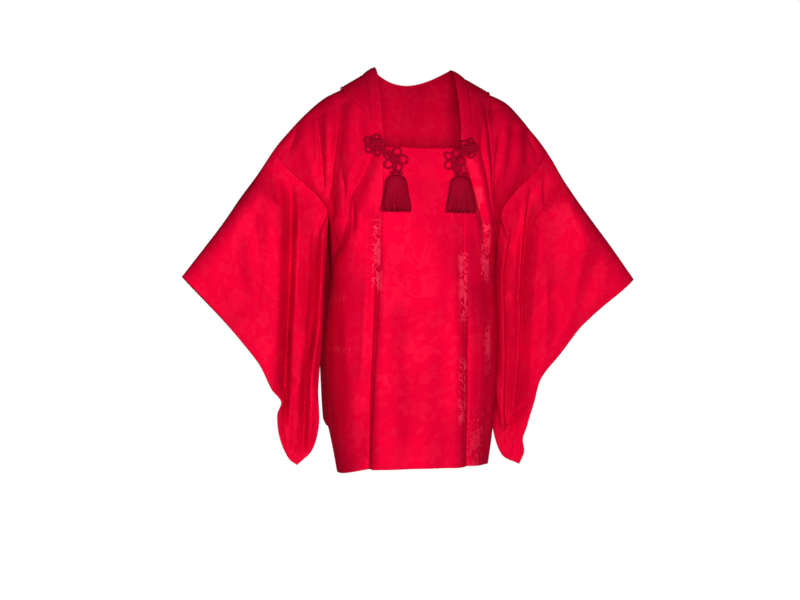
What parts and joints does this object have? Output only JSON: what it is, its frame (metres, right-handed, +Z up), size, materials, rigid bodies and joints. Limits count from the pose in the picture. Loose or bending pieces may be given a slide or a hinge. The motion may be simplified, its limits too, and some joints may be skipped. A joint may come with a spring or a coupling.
{
  "type": "michiyuki coat",
  "caption": "Short Japanese over-kimono coat with a square neckline, flat fall collar, wide hanging sleeves, corded flower knots and tassels, in its worn, hollow form.",
  "frame": {"origin": "middle of the line between the two neck points, where the wearer's shoulders hold the coat", "axes": "+Z up, -Y the coat's front, +X the side of the wearer's left arm"},
  "size_m": [0.9403, 0.3667, 0.8307],
  "materials": {
    "silk": "self-figured silk with a soft sheen",
    "cord": "spun silk cord"
  },
  "bodies": {
    "root": {"body_right": "silk", "body_left": "silk", "sleeve_right": "silk", "sleeve_left": "silk", "overlap_upper": "silk", "overlap_under": "silk", "neck_band": "silk", "fall_collar": "silk", "knot_right_outer": "cord", "knot_right_inner": "cord", "knot_left_outer": "cord", "knot_left_inner": "cord", "tassel_tie_right": "cord", "tassel_tie_left": "cord", "tassel_right": "cord", "tassel_left": "cord"}
  },
  "joints": []
}
